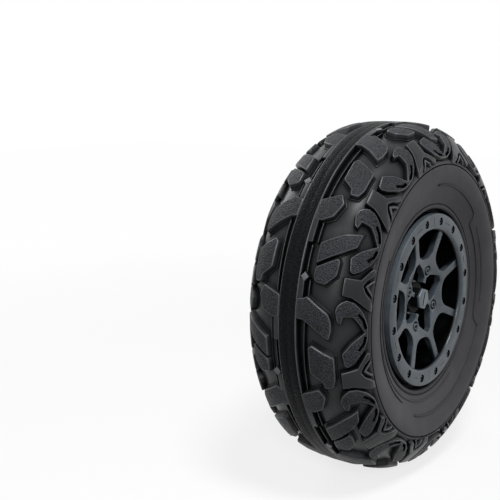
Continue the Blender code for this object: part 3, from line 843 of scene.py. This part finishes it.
# %% Slits in the hook
SLITS = (
    ((56.6, 144), (59.2, 146.2), (60.6, 149.2)), ((60.4, 151.9), (59.6, 154.4), (57, 156.5)),
)
SLIT_WIDTH, SLIT_FLOOR = 2.8, 1.0
for slit in SLITS:
    outline = anticlockwise(strip(on_tread(slit), SLIT_WIDTH))
    deselect()
    bpy.ops.mesh.primitive_circle_add(vertices=len(outline), radius=MM, fill_type="NGON")
    groove = named("slit")
    for vert, (x, y) in zip(groove.data.vertices, outline):
        vert.co = Vector((x, y, SLIT_FLOOR)) * MM
    edit(groove)
    bpy.ops.mesh.extrude_region_move(TRANSFORM_OT_translate={"value": (0, 0, 6 * MM)})
    cut(hook, tidy_mesh(groove))
# The star's tops take painted shade and the ridge's tops painted highlight.
shoulder_lugs = [
    cut_for_bending(hook, 3, 2.5), cut_for_bending(star, 3, 2.5, (SHADED_WALL, SHADED_PLASTIC, EDGE)),
    cut_for_bending(ridge, 3, 2.5, (SHADED_WALL, EDGE, EDGE)),
]
for side, half in ((1, "outer"), (-1, "inner")):
    tread = tread_set(f"shoulder_lugs_{half}", shoulder_lugs, 12, side, 0)
    finished(tread, "wheel", smooth=40)

# %% [markdown]
# ## Traction band
# The band is what touches the floor. It is a flat-topped hoop with a leather grain and a fine mould
# line round its middle. Low shelves and thin ribs run beside it, and a small diamond-shaped nub stands
# between two of them.

# %% Band
BAND_HALF = 9.3
band = spun("grip_band", [
    (164.4, BAND_HALF), (168.9, BAND_HALF), (169.6, BAND_HALF - 0.3), (170, BAND_HALF - 1.1),
    (170, 0.4), (169.85, 0), (170, -0.4),
    (170, 1.1 - BAND_HALF), (169.6, 0.3 - BAND_HALF), (168.9, -BAND_HALF), (164.4, -BAND_HALF),
], 180)
# The band's chamfer takes the painted highlight and its side wall the painted shade.
for face in band.data.polygons:
    across = abs(AXLE.y - face.center.y) / MM
    if across > BAND_HALF - 1.1:
        face.material_index = 1 if across < BAND_HALF - 0.05 else 2
finished(band, "wheel", [BAND_AND_SHADOW, EDGE, SHADED_WALL], ["traction_band"])

# %% Shelves, ribs and nubs beside the band
SHELF_START, SHELF_END = 9.2, 14
beside = []
for low, high in ((147.5, 154.2), (165.2, 170.7)):
    outline = [(SHELF_START, low), (SHELF_END, low), (SHELF_END, high), (SHELF_START, high)]
    beside.append(flat_lug("shelf", on_tread(outline), 5.7, 0.5, 0.3, 0.4, False))
for start, end in (
    ((16.5, 117.6), (14.3, 140.4)), ((18.3, 147.6), (18.3, 154.2)), ((13.9, 155), (13.9, 163.2)),
    ((18.5, 165.2), (18.5, 170.5)),
):
    beside.append(flat_lug("rib", strip(on_tread([start, end]), 0.9), 3.2, 0.5, 0, 0.3, False))
# Shelves and ribs take painted shade, with painted highlight on their top edges.
beside = [cut_for_bending(lug, 5, 2.5, (SHADED_PLASTIC, SHADED_PLASTIC, EDGE)) for lug in beside]
nub = [(9.7, 164.5), (13.6, 163.1), (17.6, 164.5), (13.6, 165.9)]
nub = flat_lug("nub", on_tread(nub), 5.9, 0.5, 0.3, 0.5, False)
# The nub's top takes painted highlight.
beside.append(cut_for_bending(nub, 5, 2.5, (SHADED_WALL, NUB_HIGHLIGHT, NUB_HIGHLIGHT)))
for side, half in ((1, "outer"), (-1, "inner")):
    trim = tread_set(f"band_trim_{half}", beside, 6, side, 0 if side > 0 else 30)
    finished(trim, "wheel", smooth=40)

# %% [markdown]
# ## Sidewall relief
# A moulded sidewall has thin raised lines. They run in arcs round the rim and step in and out with
# short slanted ends. They are strips laid on the sidewall, whose height at each radius is known from
# the section above.

# %% Raised lines
SIDE_RADII, SIDE_HEIGHTS = zip(*SIDEWALL[::-1])
ARC_STEP = 3.0


def arc(radius, start, end):
    """Points of (radius, degrees) along an arc."""
    count = int(abs(end - start) / ARC_STEP) + 1
    return [(radius, degrees) for degrees in np.linspace(start, end, count)]


def side_line(name, path, width, height):
    """A thin raised line on the sidewall along a path of (radius, degrees)."""
    middle = 110.0
    outline = strip([(r, math.radians(d) * middle) for r, d in path], width)
    line = flat_lug(name, outline, height, 0.2, 0, 0.15, False)
    edit(line)
    tidy_mesh(line)
    for vert in line.data.vertices:
        radius, round_, up = np.array(vert.co) / MM
        out = float(np.interp(radius, SIDE_RADII, SIDE_HEIGHTS)) + min(up, height)
        vert.co = place(radius, out, math.degrees(round_ / middle))
    edit(line)
    return tidy_mesh(line)


LINES = (
    (arc(111.5, 44, 92), 1.2, 0.9), ([(111.6, 44), (108, 41), (102.4, 39.4)], 1.2, 0.9),
    (arc(102.5, 39.5, -16), 1.2, 0.9), ([(102.5, -16), (104.5, -21), (111.5, -24.5)], 1.2, 0.9),
    (arc(111.5, -24.5, -110), 1.2, 0.9), (arc(104, 150, 236), 1.2, 0.9),
    (arc(108.8, 34, -11), 1.0, 0.5), (arc(98.5, 160, 300), 1.2, 0.6),
)
lines = [side_line("line", path, width, height) for path, width, height in LINES]
finished(joined("sidewall_lines", lines), "wheel", [SMOOTH], smooth=40)

# %% [markdown]
# ## Rim: clamp ring
# On a racing wheel a bolted ring clamps the tyre to the rim. The toy copies its look: a flat ring
# with sixteen small screws in round pockets, and fine tick marks between them. Its outer wall is
# painted a little lighter than its face as painted light, and its pockets black as painted shade.

# %% Ring
LIP_ROUND = 3.9
PAINTED_SHADE_TOP = 47.2  # on the outer wall, beside the tyre's lip
round_lip = [
    (RING_INNER + LIP_ROUND * (1 - math.cos(a)), RING_FACE - LIP_ROUND * (1 - math.sin(a)))
    for a in np.linspace(0, math.pi / 2, 8)
]
ring = spun("clamp_ring", [
    (RIM_RADIUS - 0.9, RING_FACE), (RIM_RADIUS - 0.2, RING_FACE - 0.3),
    (RIM_RADIUS, RING_FACE - 0.9), (RIM_RADIUS, PAINTED_SHADE_TOP), (RIM_RADIUS, 41.3), (81, 41.3),
    (81, 46.3), (76, 46.3), (76, RING_FACE - LIP_ROUND), *round_lip,
], 128)
SCREW_CIRCLE, SCREW_COUNT = 76.4, 16
POCKET_RADIUS, POCKET_DEPTH = 3.8, 2.6
screw_places = [
    turned_outline([(SCREW_CIRCLE, 0)], 11.25 + 22.5 * k)[0] for k in range(SCREW_COUNT)
]
pockets = [
    plate("pocket", circle(POCKET_RADIUS, 24, x, z), RING_FACE - POCKET_DEPTH, RING_FACE + 2)
    for x, z in screw_places
]
cut(ring, joined("pockets", pockets))
LONG_TICK = [(SCREW_CIRCLE, -4.5), (SCREW_CIRCLE + 0.3, 0), (SCREW_CIRCLE, 4.5)]
CROSS_TICK = [(RING_INNER + 3, 0), (RIM_RADIUS - 4, 0)]
TICKS = [(LONG_TICK, 22.5 + 45 * k, 0.8) for k in range(8)]
TICKS += [(CROSS_TICK, around, 0.7) for around in (90, 270)]
TICK_DEPTH = 0.5
ticks = [
    plate("tick", strip(turned_outline(path, around), width), RING_FACE - TICK_DEPTH, RING_FACE + 2)
    for path, around, width in TICKS
]
cut(ring, joined("ticks", ticks))
# The pockets and the foot of the outer wall are painted black as painted shade, the rest of that wall
# lighter as painted light.
for face in ring.data.polygons:
    x, z, height = face.center.x / MM, face.center.z / MM, (AXLE.y - face.center.y) / MM
    if height > RING_FACE - TICK_DEPTH - 0.1:
        continue
    if min(math.hypot(x - sx, z - sz) for sx, sz in screw_places) < POCKET_RADIUS + 0.1:
        face.material_index = 1
    elif math.hypot(x, z) > RIM_RADIUS - 0.4:
        face.material_index = 2 if height > PAINTED_SHADE_TOP else 1
# Painted shade: the ring's inner lip turns black deeper than 2.6 mm.
set_depth_shade(ring, lambda x, z, depth: 1 if math.hypot(x, z) > RIM_RADIUS - 0.5 else 2.6 - depth)
finished(ring, "wheel", [GUNMETAL_WITH_DEPTH_SHADE, BLACK_GLOSS_AND_SHADE, BRIGHT_TRIM_AND_LIT_WALL], smooth=30)

# %% Screws
def paint_shade_on_faces(piece, x, z, radius, height):
    """Gives the second finish to the faces near an axis and below a height: painted shade in the
    hollow.
    """
    for face in piece.data.polygons:
        away = math.hypot(face.center.x / MM - x, face.center.z / MM - z)
        if away < radius and (AXLE.y - face.center.y) / MM < height:
            face.material_index = 1


def screw(x, z, low, top, radius):
    """A pan head with a round socket."""
    middle = AXLE + Vector((x, 0, z)) * MM
    head = spun("screw", [
        (0, top - 1.1), (radius * 0.46, top - 1.1), (radius * 0.5, top), (radius * 0.8, top - 0.1),
        (radius, top - 0.6), (radius, low), (0, low),
    ], 16, middle, closed=False)
    head.data.materials.append(GUNMETAL)
    head.data.materials.append(BLACK_GLOSS_AND_SHADE)
    # The socket is painted black as painted shade.
    paint_shade_on_faces(head, x, z, radius * 0.49, top)
    return head


SCREW_HEAD, SCREW_FOOT, SCREW_TOP = 2.7, RING_FACE - POCKET_DEPTH - 0.3, RING_FACE - 0.9
screws = [screw(x, z, SCREW_FOOT, SCREW_TOP, SCREW_HEAD) for x, z in screw_places]
finished(joined("ring_screws", screws), "wheel", smooth=30)

# %% [markdown]
# ## Rim: spokes and hub plate
# Spokes and hub are one moulding, dished so that the hub lies 11 mm behind the ring. It is easiest to
# cut it flat: a thick disc, openings, windows and pockets cut out, and all edges bevelled while the
# faces are still flat. Then it is cut into small patches and every point sinks by its radius. The
# openings run out past the disc's edge, so that only the spokes reach in under the ring.

# %% Flat spoked disc
SPOKE_HALF, OPENING_START, SPOKE_DEPTH, SPOKE_END = 3.8, 39.2, 6.5, 80.0
WINDOW_HALF = [(12, 8.4), (16, 13.2), (24.5, 12.2), (31, 8.2), (37.6, 3.2)]


def opening():
    """One opening between two spokes, on the X axis, open past the disc's edge."""
    half_pitch = math.radians(22.5)
    inner = OPENING_START * math.tan(half_pitch) - SPOKE_HALF / math.cos(half_pitch)
    outer = SPOKE_END + 4
    end = half_pitch - math.asin(SPOKE_HALF / outer)
    rim_side = [(outer * math.cos(end * k / 4), outer * math.sin(end * k / 4)) for k in range(-4, 5)]
    return rounded([(OPENING_START, inner), (OPENING_START, -inner), *rim_side], 14, 8, only=(0, 1))


def window():
    """One window of the hub plate, on the X axis, wider near the centre hole that it opens into."""
    outline = [(x, -z) for x, z in WINDOW_HALF] + WINDOW_HALF[::-1]
    return rounded(outline, 3.0, 4, only=range(1, 9))


disc = plate("spoked_face", circle(SPOKE_END, 128), 0, SPOKE_DEPTH)
low, high = -3, SPOKE_DEPTH + 3
holes = [plate("hole", turned_outline(opening(), 45 * k), low, high) for k in range(8)]
windows = [plate("hole", turned_outline(window(), 22.5 + 90 * k), low, high) for k in range(4)]
windows.append(plate("hole", circle(15.5, 48), low, high))
NUT_CIRCLE, NUT_ANGLES = 28.0, [67.5 + 90 * k for k in range(4)]
NUT_POCKET, NUT_POCKET_DEPTH = 5.0, 3.0
nut_places = [turned_outline([(NUT_CIRCLE, 0)], a)[0] for a in NUT_ANGLES]
holes += [
    plate("hole", circle(NUT_POCKET, 32, x, z), SPOKE_DEPTH - NUT_POCKET_DEPTH, high)
    for x, z in nut_places
]
for hole in (joined("holes", holes), *windows):
    cut(disc, hole)
soften(disc, 0.6, 2, 50)
print("spoked disc:", len(disc.data.polygons), "faces")

# %% [markdown]
# The gunmetal is darkened to black with depth as painted shade. It stays on the faces and the walls
# of the hub, but fades down the sides of the spokes near the ring, where only black shows. So every
# point gets a share of unshaded gunmetal, kept as a colour on the mesh that the finish reads.

# %% Dish it and paint shade on it
DISH = [(28, 11.0), (40, 7.8), (68, 4.5), (76, 4.1)]
HUB_THICKER = [(30, 0.8), (40, 0.0)]
UNSHADED_DEPTH = [(48, 14.0), (57, 1.5)]
edit(disc)
for at in (SPOKE_DEPTH - 1.5, SPOKE_DEPTH - 3.2, SPOKE_DEPTH - 4.8):
    bpy.ops.mesh.select_all(action="SELECT")
    bpy.ops.mesh.bisect(plane_co=place(0, at), plane_no=(0, 1, 0))
for axis in (0, 2):
    normal = [0, 0, 0]
    normal[axis] = 1
    for at in np.arange(-76, 77, 4.0):
        bpy.ops.mesh.select_all(action="SELECT")
        bpy.ops.mesh.bisect(plane_co=[n * at * MM for n in normal], plane_no=normal)
tidy_mesh(disc)
# Painted shade: the unshaded share falls with depth, faster near the ring.
set_depth_shade(disc, lambda x, z, depth: 1.4 - (depth - RING_FACE + SPOKE_DEPTH)
      / np.interp(math.hypot(x, z), *zip(*UNSHADED_DEPTH)))
for vert in disc.data.vertices:
    x, z = vert.co.x / MM, vert.co.z / MM
    radius, degrees = math.hypot(x, z), math.degrees(math.atan2(z, x))
    depth = SPOKE_DEPTH - (AXLE.y - vert.co.y) / MM
    depth += np.interp(radius, *zip(*HUB_THICKER)) * depth / SPOKE_DEPTH
    vert.co = place(radius, RING_FACE - np.interp(radius, *zip(*DISH)) - depth, degrees)
finished(disc, "wheel", [GUNMETAL_WITH_DEPTH_SHADE], ["rim_face"], smooth=35)

# %% [markdown]
# ## Rim: barrel, web and ribs
# Behind the spokes the rim is a dark barrel with a web and a hub tube, stiffened by radial ribs at
# the back. It is nearly black seen through the spokes, so only its glossy edges show.

# %% Barrel
barrel = spun("barrel", [
    (84, 41.0), (84, -46.3), (87, -46.3), (87, -48.3), (86.5, -48.8), (81.5, -48.8), (81, -48.3),
    (81, -18.5), (80.5, -18), (17.5, -18), (17, -18.5), (17, -47.7), (16.7, -48), (10.5, -48),
    (10.2, -47.7), (10.2, 30.4), (10.5, 30.7), (16.7, 30.7), (17, 30.4), (17, -13.5), (17.5, -14),
    (80.5, -14), (81, -13.5), (81, 40.7), (81.3, 41.0), (83.7, 41.0),
], 128)
RIB = [(16, -1.5), (82.5, -1.5), (82.5, 1.5), (16, 1.5)]
ribs = [plate("rib", turned_outline(RIB, 22.5 + 45 * k), -38, -16) for k in range(8)]
for rib in ribs:
    soften(rib, 0.5, 2, 50)
finished(joined("rim_barrel_and_ribs", [barrel, *ribs]), "wheel", [BLACK_GLOSS_AND_SHADE], ["rim_barrel"])

# %% Lug nuts
for number, (x, z) in enumerate(nut_places, start=1):
    nut = spun(f"lug_nut_dressed_{number}", [
        (0, 40.0), (1.6, 40.0), (1.8, 41.9), (2.0, 42.1), (2.7, 42.1), (3.2, 41.8), (3.4, 41.2),
        (3.4, 38.6), (0, 38.6),
    ], 32, AXLE + Vector((x, 0, z)) * MM, closed=False)
    # The socket is painted black as painted shade.
    paint_shade_on_faces(nut, x, z, 1.75, 42)
    finished(nut, "wheel", [GUNMETAL, BLACK_GLOSS_AND_SHADE], [f"lug_nut_{number}"])

# %% Centre cap
CAP_FRONT, CAP_BACK, CAP_FLATS, CAP_HOLLOW, CAP_TURN = 44.2, 34.0, 19.0, 8.1, 12
CAP_WALL, SLOT_WIDTH, SLOT_DEPTH, UNSHADED_SIDE = 1.5, 1.7, 0.8, 2.4
corner = CAP_FLATS / 2 / math.cos(math.pi / 6)
hexagon = circle(corner, 6, start=math.radians(90 + CAP_TURN))
cap = plate("cap", rounded(hexagon, 1.4, 3), CAP_BACK, CAP_FRONT)
soften(cap, 0.9, 3, 50)
edit(cap)
bpy.ops.mesh.bisect(plane_co=place(0, CAP_FRONT - UNSHADED_SIDE), plane_no=(0, 1, 0))
tidy_mesh(cap)
cut(cap, plate("hollow", circle(CAP_HOLLOW, 32), CAP_BACK - 4, CAP_FRONT - CAP_WALL))
slot = strip([(-2.1, -6.6), (2.1, 6.6)], SLOT_WIDTH)
cut(cap, plate("slot", slot, CAP_FRONT - SLOT_DEPTH, CAP_FRONT + 2))
# The slot and all but the front of the hexagon's sides are painted black as painted shade, and so is
# the foot.
paint_shade_on_faces(cap, 0, 0, 7.2, CAP_FRONT - 0.2)
paint_shade_on_faces(cap, 0, 0, 12, CAP_FRONT - UNSHADED_SIDE)
foot = spun("foot", [(14.8, 34.5), (15.2, 34.2), (15.2, 33.0), (8.3, 33.0), (8.3, 34.5)], 64)
for piece, finishes in ((cap, (BRIGHT_TRIM_AND_LIT_WALL, SHADE_BLACK)), (foot, (SHADE_BLACK,))):
    for finish in finishes:
        piece.data.materials.append(finish)
finished(joined("centre_cap_dressed", [cap, foot]), "wheel", replaces=["centre_cap"])

# %% [markdown]
# ## Axle, bushings and plate
# None of this shows in the photo, but a reusable wheel needs what carries it. Turned pieces get small
# chamfers, as a lathe leaves them, and the plate gets rounded edges before its powder coat.

# %% Bushings
outer_bushing = spun("bushing_outer_dressed", [
    (12.6, 32.7), (13, 32.3), (13, 31.0), (9.9, 31.0), (9.9, 19.4), (9.5, 19.0), (6.1, 19.0),
    (6.1, 32.3), (6.5, 32.7),
], 64)
finished(outer_bushing, "wheel", [NYLON], ["bushing_outer"])
inner_bushing = spun("bushing_inner_dressed", [
    (12.6, -50), (13, -49.6), (13, -48.3), (9.9, -48.3), (9.9, -36.7), (9.5, -36.3), (6.1, -36.3),
    (6.1, -49.6), (6.5, -50),
], 64)
finished(inner_bushing, "wheel", [NYLON], ["bushing_inner"])

# %% Axle and washers
axle = spun("stub_axle_dressed", [
    (0, 40.9), (3.5, 40.9), (4, 40.4), (4, 32.7), (5.7, 32.7), (6, 32.4), (6, -52.1), (10.6, -52.1),
    (11, -52.5), (11, -55.7), (10.6, -56.1), (8.6, -56.1), (8.2, -56.6), (8, -57.5), (8, -69.7),
    (0, -69.7),
], 64, closed=False)
finished(axle, "stub_axle", [ZINC], ["stub_axle"])
washer = spun("inner_washer_dressed", [
    (11.7, -50.3), (12, -50.6), (12, -51.5), (11.7, -51.8), (6.3, -51.8), (6.3, -50.3),
], 64)
finished(washer, "stub_axle", [ZINC], ["inner_washer"])
for name in ("outer_washer", "lock_nut"):
    for part in frame["nodes"][name].material_slots:
        part.material = ZINC

# %% Axle plate
corners = rounded([(-32, -32), (32, -32), (32, 32), (-32, 32)], 10, 8)
flange = plate("axle_plate_dressed", corners, -75, -70)
bolt_holes = [
    plate("hole", circle(4.2, 32, x, z), -80, -65) for x in (-22, 22) for z in (-22, 22)
]
cut(flange, joined("holes", bolt_holes))
soften(flange, 0.6, 2, 50)
finished(flange, "stub_axle", [POWDER], ["axle_plate"])

# %% Remove the flat patterns
for flat in [*crown_lugs, *shoulder_lugs, *beside]:
    bpy.data.objects.remove(flat)
